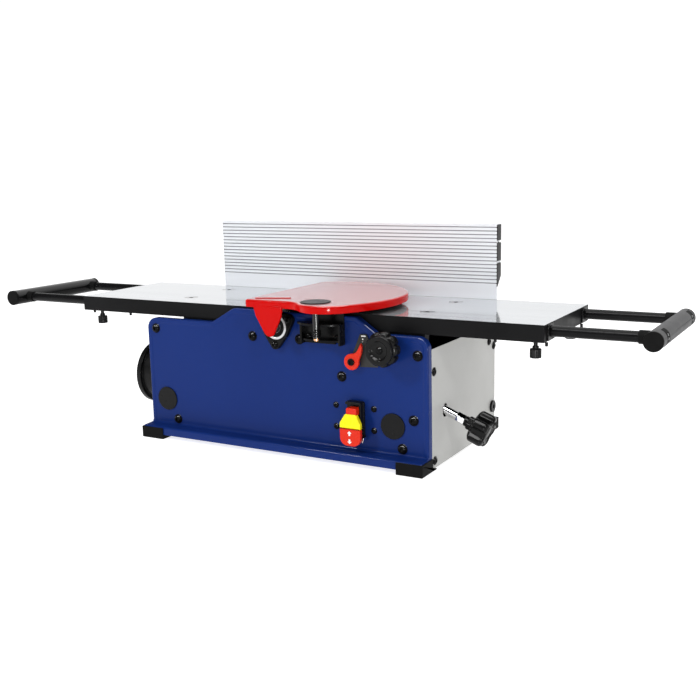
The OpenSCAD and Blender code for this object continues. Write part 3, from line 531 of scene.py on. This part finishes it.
shell = Build()
shell.loft([guard_loop(i, h) for i, h in
            [(4, 8), (4, 0.6), (3.4, 0), (0.8, 0), (0, 0.8)]
            + [(i, 8.2 + z) for i, z in edge_profile(3.8, 8)] + [(6, 12)]])
shell.loft([tab_loop(i, y) for i, y in
            [(0.8, -46.2), (0, -47)] + [(i, -48.2 - z) for i, z in edge_profile(1.7, 4)]])
shell.loft(post_rings([(14, GUARD_Z + 9), (14, GUARD_Z + 0.5), (13.5, GUARD_Z), (7.5, GUARD_Z)]),
           start=False, end=False)
shell.piece("guard_shell", "guard_plate", flat_angle=50)
Build().loft(post_rings([(4.5, 196), (5.5, 196.6), (5.5, GUARD_Z + 4), (7.5, GUARD_Z + 4)])).piece(
    "guard_post", "guard_plate", "post_steel")

COIL_R, COIL_WIRE, COIL_FOOT, COIL_TALL, COIL_TURNS, COIL_STEPS = 6.9, 0.6, 198.2, 11.6, 4, 24
coil = []
for k in range(COIL_TURNS * COIL_STEPS + 1):
    a = math.tau * k / COIL_STEPS
    out, up = Vector((math.cos(a), math.sin(a), 0)), Vector((0, 0, 1))
    c = Vector((*PIVOT, COIL_FOOT + COIL_TALL * k / (COIL_TURNS * COIL_STEPS))) + out * COIL_R
    coil.append([tuple(c + (out * math.cos(w) + up * math.sin(w)) * COIL_WIRE) for w in turn(10)])
Build().loft(coil).piece("spring_coil", "guard_spring", "black_steel", 60)

# a black sheet in the guard's hollow underside, painted shade there; the raised bead near the front and the cap
# over the pivot
Build().loft([guard_loop(4.2, 2.2), guard_loop(4.2, 0.5)]).piece("guard_underside_shade", "guard_plate", "rubber")

bead_dir = Vector((49, 18)).normalized()
bead_out = Vector((-bead_dir.y, bead_dir.x))
BEAD_ENDS = [(Vector((25, -18)), -math.pi / 2), (Vector((-24, -36)), math.pi / 2)]


def bead_loop(inset, h):
    return [(q.x, q.y, GUARD_Z + h) for c, a0 in BEAD_ENDS for q in
            (c + (bead_dir * math.cos(a0 + w) + bead_out * math.sin(a0 + w)) * (2.4 - inset)
             for w in (math.pi * k / 8 for k in range(9)))]


Build().loft([bead_loop(i, h) for i, h in ((0, 11.8), (0, 13.0), (0.3, 13.3), (0.8, 13.4))]).piece(
    "guard_bead", "guard_plate", flat_angle=50)
Build().loft(post_rings([(r, GUARD_Z + h) for r, h in
                         ((22.4, 12), (23, 12.3), (23, 13), (22.6, 13.4), (21.8, 13.5), (8, 13.2))], 72)).piece(
    "pivot_cap", "guard_cap", flat_angle=50)
bush = Build()
for r, z0, z1 in ((4.6, 193.4, 196.2), (3.6, 192.6, 193.6)):
    bush.loft(post_rings([(r, z0), (r, z1 - 0.4), (r - 0.4, z1), (1.0, z1)]))
bush.piece("post_bush", "guard_bracket", "brass")


# ---------------------------------------------------------------- turned knobs
def scallop(r, depth, lobes=9):
    def rad(a):
        off = (a * lobes / math.tau + 0.5) % 1 - 0.5
        return r - 4.0 * off * off - depth * math.exp(-((0.5 - abs(off)) / 0.12) ** 2)
    return rad


lock = turned(LOCK_AXIS, ((-15, 15), (-25.5, 15.5), (-26, 17)))
lock += [upright_ring(LOCK_AXIS, y, scallop(r, d)) for y, r, d in
         ((-26.2, 22.6, 1.2), (-27.0, 24.8, 1.8), (-28.6, 26.0, 2.2), (-31, 26.5, 2.4), (-38, 26.5, 2.4),
          (-41, 26.0, 2.2), (-43, 24.8, 1.6))]
lock += turned(LOCK_AXIS, ((-43.6, 22.2), (-44, 22.0), (-48.4, 22.0), (-49.2, 21.6), (-49.7, 20.8),
                           (-49.8, 19.6), (-49.8, 15.6), (-49.3, 14.6), (-46.8, 12.8), (-46.2, 11.0),
                           (-45.8, 6.5), (-45.8, 1.0)))
Build().loft(lock).piece("lock_knob_body", "table_lock_knob", "knob_plastic", 60)
Build().loft(turned(LOCK_AXIS, ((-45.7, 5.6), (-46.3, 5.4), (-47.2, 4.6), (-47.9, 3.4), (-48.3, 2.0),
                                (-48.45, 0.6)), 40)).piece(
    "lock_knob_nub", "table_lock_knob", "black_steel", 80)
Build().loft(turned(LOCK_AXIS, ((-15.3, 10), (-14, 9.6), (-12.6, 9.6), (-12.4, 4), (35, 4)), 48)).piece(
    "lock_knob_stud", "table_lock_knob", "steel")


# star knob, turned about the depth screw's axis
def screw_ring(t, rad):
    """Ring about the depth screw's axis, t millimetres out from the panel."""
    x, y, z = SCREW_START
    ux, uz = math.cos(SCREW_SLOPE), -math.sin(SCREW_SLOPE)
    return [(x + ux * t - uz * rad(a) * math.sin(a), y + rad(a) * math.cos(a),
             z + uz * t + ux * rad(a) * math.sin(a)) for a in turn(150)]


def star(r, depth):
    return lambda a: r - depth * (1 - 1 / (1 + math.exp(-4.2 * (math.cos(a * 5) - 0.05))))


def ribbed(r, depth):
    return lambda a: r - depth * (0.5 + 0.5 * math.cos(a * 15))


knob = [screw_ring(t, flat(r)) for t, r in ((35, 6), (35, 7.4), (36, 8), (40, 8))]
knob += [screw_ring(t, ribbed(r, d)) for t, r, d in
         ((40.4, 9.6, 0.3), (41.2, 10.6, 0.9), (47, 10.6, 0.9), (47.8, 11.2, 0.3))]
knob += [screw_ring(t, star(r, d)) for t, r, d in
         ((48.8, 16.0, 2.5), (50.4, 21.8, 5.4), (52.6, 25.2, 7.6), (55.2, 26.8, 8.6), (70, 27.0, 8.0),
          (73.4, 26.4, 7.4), (75.4, 24.8, 6.8), (76.6, 22.8, 6.2), (77, 21.0, 5.6), (76.6, 19.6, 5.2),
          (75.6, 18.8, 5.0))]
knob += [screw_ring(t, flat(r)) for t, r in ((74.6, 12), (74.2, 10.5), (75.2, 9.5), (75.6, 6.0), (75.7, 1.0))]
Build().loft(knob).piece("star_knob_body", "star_knob", "knob_plastic", 55)

# ---------------------------------------------------------------- switch paddle
PADDLE_X0, PADDLE_X1, PADDLE_BACK, PADDLE_FACE = 119.2, 154.6, -29.5, -36


def box_outline(x0, z0, x1, z1, radii, steps):
    return round_poly([(x0, z0), (x1, z0), (x1, z1), (x0, z1)], radii, steps)


yellow = round_poly([(PADDLE_X0, 60.2), (PADDLE_X1, 60.2), (PADDLE_X1, 68), (147.6, 82.6), (128.8, 82.6),
                     (PADDLE_X0, 68)], [0.3, 0.3, 7, 3, 3, 7], 6)
Build().plate(yellow, PADDLE_BACK, PADDLE_FACE, 0.8).piece("paddle_flap", "switch_flap", flat_angle=50)
red = box_outline(PADDLE_X0, 33, PADDLE_X1, 59.9, [13, 13, 0.3, 0.3], 10)
neck = round_poly([(129.8, 81), (147.8, 81), (147.6, 92), (130, 92)], [0.4, 0.4, 2, 2], 5)
Build().plate(red, PADDLE_BACK, PADDLE_FACE, 0.8).plate(neck, -20.5, -34.9, 1.0).piece(
    "paddle_red", "switch_paddle", flat_angle=50)


def arrow(cx, cz, d):
    """Plain arrow outline about (cx, cz), pointing up for d = 1 and down for d = -1."""
    pts = [(-1.5, -3.4), (1.5, -3.4), (1.5, 0.2), (3.9, 0.2), (0, 4.1), (-3.9, 0.2), (-1.5, 0.2)]
    return [Vector((cx + x, cz + d * z)) for x, z in (pts if d > 0 else pts[::-1])]


arrows = Build()
for cz, d in ((52.6, 1), (40.4, -1)):
    arrows.plate(arrow(136, cz, d), PADDLE_FACE + 0.1, PADDLE_FACE - 0.15, 0.1, 1, offset_poly)
arrows.piece("paddle_arrows", "switch_paddle", "white_print", 30)

# housing behind the paddle: a hood above it, a rib down its right side, a small plated clip at the foot
hood = Build()
hood.plate(box_outline(122, 37, 151, 99, [2, 2, 3, 3], 6), FRONT_Y, -17, 0.8)
hood.plate(box_outline(123.4, 94.6, 150.6, 99.4, [1, 1, 2.6, 2.6], 6), -15, -25.6, 1.0)
hood.plate(box_outline(146.9, 48, 150.6, 95.4, [1, 1, 1, 1], 5), -15, -25.6, 0.9)
hood.piece("switch_hood", "switch_frame", flat_angle=50)
clip = round_poly([(151.4, 38.4), (153.6, 37.4), (156.4, 44.6), (154.4, 45.6)], [0.8, 0.8, 0.8, 0.8], 5)
Build().plate(clip, -16, -27.5, 0.6).piece("switch_clip", "switch_frame", "chrome", 50)

# ---------------------------------------------------------------- depth pointer and its scale
eye_x, eye_z = POINTER_AXIS
pointer = [Vector((eye_x + 12.6 * math.cos(a), eye_z + 12.6 * math.sin(a)))
           for a in (math.radians(d) for d in range(112, 361 + 8, 8))]
pointer += [Vector((eye_x + x, eye_z + z)) for x, z in
            ((14.2, 6.5), (16.6, 12), (18.0, 18), (18.2, 23.5), (17.2, 28.2), (16.0, 29.2), (14.6, 26.6),
             (12.0, 20.5), (8.6, 15.6), (4.4, 13.1), (-0.4, 12.7))]
Build().plate(pointer, -17, -21.6, 1.3).piece("pointer_body", "depth_pointer", flat_angle=50)
Build().loft(turned(POINTER_AXIS, ((22, 3), (-16.8, 3), (-16.9, 6.5), (-21, 6.5), (-21.7, 5.6), (-24, 5.2),
                                   (-24.4, 4.6), (-24.4, 2.4), (-22.8, 2.2)), 40)).piece(
    "pointer_screw", "depth_pointer", "black_steel")
SCALE_FACE = -14.0
scale = round_poly([(132.4, 172.3), (136.6, 169.4), (143.6, 164), (145.7, 159.5), (145.4, 154.4),
                    (143.4, 151.7), (176.5, 153.7), (157.0, 202.6), (145.4, 202.4)],
                   [1.0, 0.8, 1.0, 1.5, 1.0, 0.8, 2, 2, 2], 5)
Build().plate(scale, FRONT_Y - 0.5, SCALE_FACE, 0.3, 2).piece("scale_body", "scale_plate", flat_angle=50)

# plain printed bars on the scale: centre, half length, half width, tilt
marks = Build()
for x, z, half_len, half_wide, tilt in ((151.4, 199.6, 3.9, 1.0, math.radians(3)),
                                        (150.2, 194.8, 1.0, 1.0, 0), (149.6, 190.8, 0.9, 0.35, 0)):
    c, s = math.cos(tilt), math.sin(tilt)
    q = [(-half_len, -half_wide), (half_len, -half_wide), (half_len, half_wide), (-half_len, half_wide)]
    marks.plate([Vector((x + u * c - v * s, z + u * s + v * c)) for u, v in q],
                SCALE_FACE + 0.1, SCALE_FACE - 0.1, 0.05, 1, offset_poly)
marks.piece("scale_marks", "scale_plate", "white_print", 30)


# ---------------------------------------------------------------- screw heads
def islands(node):
    """Drawing-frame boxes of the separate solids of a node."""
    bm = welded(node)
    bm.verts.index_update()
    seen, out = set(), []
    for first in bm.verts:
        if first.index in seen:
            continue
        seen.add(first.index)
        stack, pts = [first], []
        while stack:
            v = stack.pop()
            pts.append(((v.co.x - OFF_X) * 1000, (v.co.y - OFF_Y) * 1000, v.co.z * 1000))
            for e in v.link_edges:
                other = e.other_vert(v)
                if other.index not in seen:
                    seen.add(other.index)
                    stack.append(other)
        out.append(([min(q[i] for q in pts) for i in range(3)], [max(q[i] for q in pts) for i in range(3)]))
    bm.free()
    return out


def hexed(r):
    def rad(a):
        w = (a + math.pi / 6) % (math.pi / 3) - math.pi / 6
        return r * math.cos(math.pi / 6) / math.cos(w)
    return rad


def side_ring(centre, axis, shift, rad, n):
    """Ring about an axis along X (0) or Y (1), shifted along it from centre."""
    ring = []
    for a in turn(n):
        q = list(centre)
        q[axis] += shift
        q[1 - axis] += rad(a) * math.cos(a)
        q[2] += rad(a) * math.sin(a)
        ring.append(q)
    return ring


def head_loops(seat, axis, side, r, tall):
    """Button head on a washer, with a hexagon socket; side -1 or 1 gives the way it looks."""
    steps = [(0.0, flat(r)), (0.7, flat(r)), (1.0, flat(r - 0.3)), (1.0, flat(r * 0.86))]
    steps += [(tall * h, flat(r * w)) for h, w in
              ((0.34, 0.86), (0.52, 0.82), (0.68, 0.75), (0.82, 0.65), (0.93, 0.54), (1, 0.43))]
    steps += [(tall - 0.1, hexed(r * 0.36)), (tall * 0.45, hexed(r * 0.35)), (tall * 0.35, flat(0.2))]
    return [side_ring(seat, axis, side * h, rad, 48) for h, rad in steps]


HEAD_WIDER = 1.26    # the visible heads against the CAD's
SHANK = 0.4          # shank radius against the CAD head's


def screws(node, axis, side_of, height_of):
    """Rebuild every screw of a node: a turned head where the CAD head is, a plain shank behind it."""
    b = Build()
    for lo, hi in islands(node):
        seat = [(lo[i] + hi[i]) / 2 for i in range(3)]
        r = (hi[2] - lo[2]) / 2
        side = side_of(seat)
        tall = height_of(r)
        face, end = (hi[axis], lo[axis]) if side > 0 else (lo[axis], hi[axis])
        seat[axis] = face - side * tall
        b.loft(head_loops(seat, axis, side, r * HEAD_WIDER, tall))
        b.loft([side_ring(seat, axis, shift, flat(r * SHANK), 24) for shift in (0, end - seat[axis])])
    b.piece(node + "_turned", node, "black_steel", 40)


screws("casting_screws", 1, lambda m: 1 if m[1] > 120 else -1, lambda r: 5 if r > 6 else 4)
screws("switch_screws", 1, lambda m: -1, lambda r: 3.4)
screws("panel_screws", 0, lambda m: 1 if m[0] > 0 else -1, lambda r: 2.8)


# ---------------------------------------------------------------- bearing, its flange and the guard bracket
def hull_radius(circles):
    """Radius of the band stretched round circles (x, z, r), as a function of the angle."""
    pts = [Vector((x + r * math.cos(a), z + r * math.sin(a))) for x, z, r in circles for a in turn(90)]
    ring = [pts[i] for i in geometry.convex_hull_2d(pts)]

    def rad(a):
        d = Vector((math.cos(a), math.sin(a)))
        best = 0.0
        for i in range(len(ring)):
            p0, e = ring[i], ring[(i + 1) % len(ring)] - ring[i]
            den = d.x * e.y - d.y * e.x
            if abs(den) < 1e-9:
                continue
            t = (p0.x * e.y - p0.y * e.x) / den
            u = (p0.x * d.y - p0.y * d.x) / den
            if t > 0 and -1e-6 <= u <= 1 + 1e-6:
                best = max(best, t)
        return best
    return rad


band = hull_radius([(0, 0, 24.5)] + [(28 * math.cos(math.radians(d)), 28 * math.sin(math.radians(d)), 8)
                                     for d in (27, 147, 267)])
flange = [upright_ring(HEAD_AXIS, y, lambda a, inset=inset: band(a) - inset) for y, inset in
          ((FRONT_Y, 0), (-19, 0), (-19.7, 0.3), (-20, 1.1))]
flange += turned(HEAD_AXIS, ((-20, 21.4), (-19.6, 20.6), (-18.8, 20.1), (FRONT_Y, 20.1)))
Build().loft(flange, start=False, end=False).piece("flange_body", "bearing_flange", flat_angle=50)
Build().loft(turned(HEAD_AXIS, ((-18.2, 16.0), (-19.3, 15.8), (-19.4, 15.2), (-19.2, 14.6), (-19.1, 11.0),
                                (-19.3, 10.2), (-18.2, 9.4)), 72), start=False, end=False).piece(
    "bearing_seal", "head_bearings", "rubber")
Build().loft(turned(HEAD_AXIS, ((-19.8, 9.2), (-20.15, 9.0), (-20.3, 8.4), (-20.3, 3.2), (-19.9, 2.4)),
                    60)).piece("spindle_end", "cutterhead", "black_plastic")


def shelf(b, x0, x1, z0, z1, bow, r=0.8):
    """Shelf of the bracket; its front edge bows out by an amount around the pivot."""
    xm, half = (x0 + x1) / 2, (x1 - x0) / 2
    ring = [(xm - half * math.cos(a), -24 - bow * math.sin(a) ** 1.4) for a in
            (math.pi * k / 32 for k in range(33))]
    ring = [Vector(q) for q in ring + [(x1, -17), (x0, -17)]]
    b.loft([[(q.x, q.y, z) for q in offset_poly(ring, i)] for i, z in
            ((r, z0), (0, z0 + r), (0, z1 - r), (r * 0.3, z1 - r * 0.3), (r, z1))])


bracket = Build()
bracket.plate([(48, 184), (104, 184), (104, 193), (110.5, 193), (110.5, 184), (119, 184), (119, 217), (48, 217)],
              FRONT_Y, -18, 0.9, 4, offset_poly)
shelf(bracket, 41.5, 117, 213.5, 217.5, 16)
shelf(bracket, 49, 118, 188.8, 192.2, 8)
# a black plate from the upper shelf up to the guard, painted shade under the guard
bracket.plate([(60, 216), (119, 216), (119, 235.5), (72, 235.5)], FRONT_Y, -15, 0.5, 4, offset_poly)
for x0, x1 in ((48, 51.2), (115.8, 119)):
    bracket.loft([[(x, y, z) for x, y in ((x0, -17), (x1, -17), (x1, -28), (x0, -28))] for z in (184, 200, 216)])
bracket.piece("bracket_body", "guard_bracket", flat_angle=40)

# ---------------------------------------------------------------- fence grooves and end covers
GROOVES, GROOVE_PITCH, GROOVE_FIRST = 16, 6, 4.0
# dark grey floors laid in the fence's grooves, as painted shade in the grooves
grooves = Build()
for k in range(GROOVES):
    z = FENCE_TOP - GROOVE_FIRST - GROOVE_PITCH * k
    grooves.loft([[(x, FENCE_Y + dy, z + dz) for dy, dz in
                   ((1.19, -1.58), (1.02, -1.52), (1.02, -0.08), (1.19, -0.02))]
                  for x in (FENCE_X0 + 0.2, FENCE_X1 - 0.2)])
grooves.piece("fence_groove_painted_shade", "fence_bar", "groove_shade", 30)

# black covers over the three cells at each end of the fence
CELLS = [[(1.0, 326.2), (18.0, 326.2), (18.0, 351.6), (1.0, 351.6)],
         [(1.0, 293.4), (18.0, 293.4), (18.0, 322.6), (1.0, 322.6)],
         [(1.0, 252.0), (3.6, 252.0), (18.0, 268.6), (18.0, 289.8), (1.0, 289.8)]]
covers = Build()
for x_end, out in ((FENCE_X0, -1), (FENCE_X1, 1)):
    for cell in CELLS:
        ring = [Vector((FENCE_Y + y, z)) for y, z in cell]
        covers.loft([[(x_end + out * h, q.x, q.y) for q in offset_poly(ring, i)]
                     for h, i in ((-1.0, 0.0), (0.6, 0.0), (0.9, 0.4))])
covers.piece("fence_covers", "fence_end_caps", "black_plastic", 40)

# ---------------------------------------------------------------- pads and their screws on the support bars
PAD_R, PAD_ANGLE, PAD_STEPS = 13.48, math.radians(72), 18


def pad(b, xc, yc, out):
    """Thin pad on the outer side of a support bar."""
    sweep = [PAD_ANGLE * (2 * i / PAD_STEPS - 1) for i in range(PAD_STEPS + 1)]
    loops = []
    for y, drop in ((yc - 9, 0.06), (yc - 8.7, 0), (yc + 8.7, 0), (yc + 9, 0.06)):
        ring = [(PAD_R - drop, a) for a in sweep] + [(PAD_R - 1.2, a) for a in reversed(sweep)]
        loops.append([(xc + out * r * math.cos(a), y, BAR_Z + r * math.sin(a)) for r, a in ring])
    b.loft(loops)


def pad_screw(b, xc, yc, out, a):
    loops = []
    for h, r in ((12.9, 1.7), (13.44, 1.7), (13.49, 1.4), (13.49, 0.8), (13.1, 0.7), (13.0, 0.1)):
        loops.append([(xc + out * (h * math.cos(a) - r * math.sin(w) * math.sin(a)), yc + r * math.cos(w),
                       BAR_Z + h * math.sin(a) + r * math.sin(w) * math.cos(a)) for w in turn(20)])
    b.loft(loops)


for node, xc, out in (("infeed_bar_fittings", 572.5, 1), ("outfeed_bar_fittings", -599, -1)):
    pads, heads = Build(), Build()
    for yc in (24, 188):
        pad(pads, xc, yc, out)
        for angle in (-26, 0, 24):
            pad_screw(heads, xc, yc, out, math.radians(angle))
    pads.piece(node + "_pads", node, "rubber", 40)
    heads.piece(node + "_pad_screws", node, "steel", 40)

# ---------------------------------------------------------------- set screws below the tables, panel return
for node, spots in (("outfeed_table", ((-409, 9), (-323, 7))),
                    ("infeed_table", ((427, 6), (427, 172), (352, 7)))):
    b = Build()
    for spot in spots:
        b.loft([level_ring(spot, z, r, 20) for r, z in ((1.9, 200.9), (2.2, 201.2), (2.2, 206.5))])
    b.piece(node + "_set_screws", node, "black_steel", 40)

Build().loft([[(x, y, z) for x, y in
               ((256.4, 243.2), (256.98, 243.2), (257.1, 243.6), (256.7, 252.4), (256.0, 252.4))]
              for z in (24.5, 26, 182, 184)]).piece("panel_return", "end_panel_right", flat_angle=20)

# ---------------------------------------------------------------- camera
YAW, PITCH, ROLL = math.radians(29.677), math.radians(10.938), math.radians(-1.300)
fwd = Vector((-math.sin(YAW) * math.cos(PITCH), math.cos(YAW) * math.cos(PITCH), -math.sin(PITCH)))
right = Vector((math.cos(YAW), math.sin(YAW), 0))
up = right.cross(fwd)
cam_x = math.cos(ROLL) * right + math.sin(ROLL) * up
cam_y = -math.sin(ROLL) * right + math.cos(ROLL) * up
cam_data = bpy.data.cameras.new("camera")
cam_data.sensor_width = 36
cam_data.lens = 50.1454
cam_data.clip_start, cam_data.clip_end = 0.05, 60
cam = bpy.data.objects.new("camera", cam_data)
bpy.context.collection.objects.link(cam)
cam.matrix_world = (Matrix.Translation(P(842.99, -1268.71, 455.91))
                    @ Matrix((cam_x, cam_y, -fwd)).transposed().to_4x4())
bpy.context.scene.camera = cam

# ---------------------------------------------------------------- floor
bpy.ops.mesh.primitive_plane_add(size=60, location=(0, 0, 0))
floor = bpy.context.object
floor.name = "floor"
floor_mat, nt, bsdf = new_mat("floor")
bsdf.inputs["Roughness"].default_value = 0.9
bsdf.inputs["Specular IOR Level"].default_value = 0.1
bsdf.inputs["Emission Color"].default_value = (1, 1, 1, 1)
bsdf.inputs["Emission Strength"].default_value = 0.80
nt.links.new(ramp(nt, noise(nt, 2.0), [(0.3, (0.60, 0.60, 0.60)), (0.7, (0.63, 0.63, 0.63))]),
             bsdf.inputs["Base Color"])
floor.data.materials.append(floor_mat)

# ---------------------------------------------------------------- light
MACHINE = Vector((0, 0, 0.2))


def area(name, loc, sx, sy, power, target=MACHINE, diffuse=True):
    light = bpy.data.lights.new(name, "AREA")
    light.shape = "RECTANGLE"
    light.size, light.size_y = sx, sy
    light.energy = power
    ob = bpy.data.objects.new(name, light)
    bpy.context.collection.objects.link(ob)
    ob.location = loc
    ob.rotation_euler = (target - Vector(loc)).to_track_quat("-Z", "Y").to_euler()
    ob.visible_diffuse = diffuse


area("top", (0.1, 0.1, 2.4), 2.6, 1.6, 34)
area("left_key", (-1.5, -2.3, 2.1), 0.35, 0.35, 36)
area("right_key", (2.3, -1.8, 2.2), 0.30, 0.30, 18)
# these two only draw highlights
area("edge_light", (0.3, -1.3, 2.1), 1.6, 0.8, 45, diffuse=False)
area("low_strip", (0.624, -1.031, 0.07), 0.10, 0.13, 4, Vector((0.1, -0.18, 0.2)), False)

# the surroundings are brighter behind the machine and in a band near the horizon
world = bpy.data.worlds.new("studio")
bpy.context.scene.world = world
world.use_nodes = True
wt = world.node_tree
bg = wt.nodes["Background"]
sky = xyz(wt, N(wt, "ShaderNodeTexCoord").outputs["Generated"])
brighter = N(wt, "ShaderNodeMath", operation="MAXIMUM")
wt.links.new(to_range(wt, sky["Y"], 0.16, 1.05, 0.1, 0.55), brighter.inputs[0])
wt.links.new(to_range(wt, sky["Z"], 1.05, 0.0, 0.16, 0.34), brighter.inputs[1])
wt.links.new(brighter.outputs[0], bg.inputs["Strength"])
bg.inputs["Color"].default_value = (1, 1, 1, 1)
bpy.context.scene.view_settings.view_transform = "Standard"
